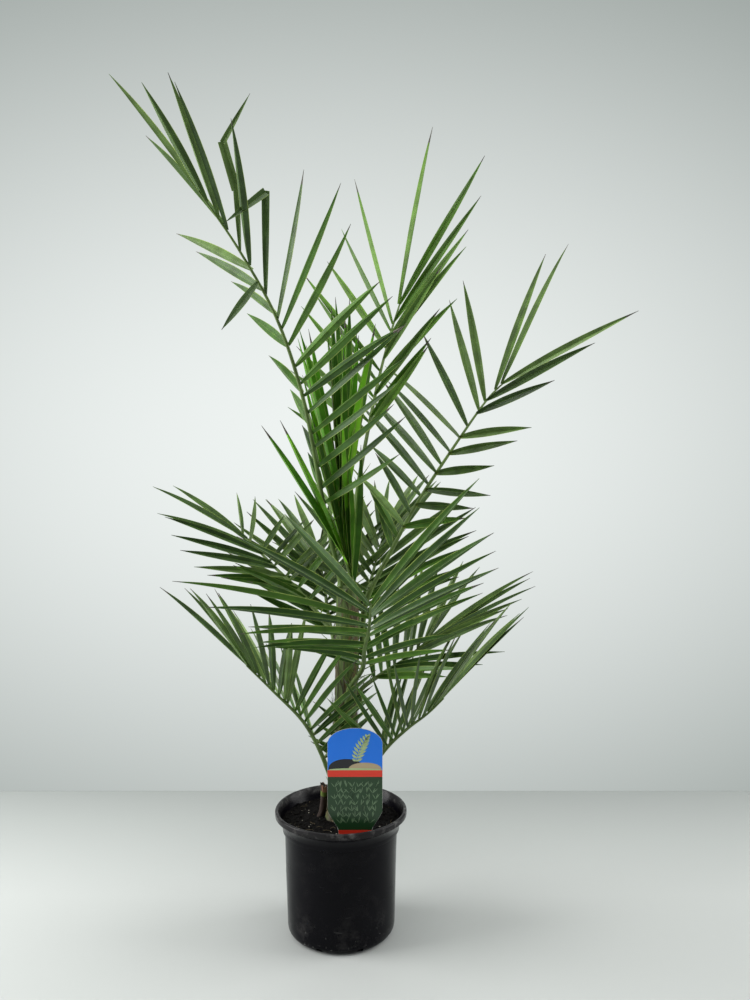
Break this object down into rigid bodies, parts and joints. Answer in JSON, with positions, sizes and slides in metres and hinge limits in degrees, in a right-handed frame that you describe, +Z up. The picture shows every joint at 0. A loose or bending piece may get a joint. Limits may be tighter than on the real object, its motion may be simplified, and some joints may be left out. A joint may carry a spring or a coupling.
{
  "type": "potted canary island date palm",
  "caption": "Young feather-leaved palm with long arching fronds on a short stem, in a round black nursery pot with compost and a plain plant label.",
  "frame": {"origin": "centre of the pot's flat underside, on the surface that it stands on", "axes": "+Z up along the pot, -Y towards the side with the label, +X to the right seen from that side"},
  "size_m": [0.574, 0.5477, 0.9331],
  "materials": {
    "pot_plastic": "semi-gloss moulded plastic with fine scuffs",
    "compost": "damp peat and bark crumbs",
    "label_card": "printed plastic stake",
    "leaf_bases": "fibrous clasping leaf bases",
    "dry_leaf_base": "dry cut leaf base",
    "frond": "satin green leaf"
  },
  "bodies": {
    "root": {"pot": "pot_plastic", "soil": "compost", "label": "label_card", "stem": "leaf_bases", "cut_leaf_base": "dry_leaf_base", "spear": "frond", "frond_upper_left": "frond", "frond_upper_back": "frond", "frond_right": "frond", "frond_mid_left": "frond", "frond_mid_right": "frond", "frond_low_left": "frond", "frond_low_right": "frond", "frond_front": "frond", "frond_back_left": "frond", "frond_back_right": "frond"}
  },
  "joints": []
}
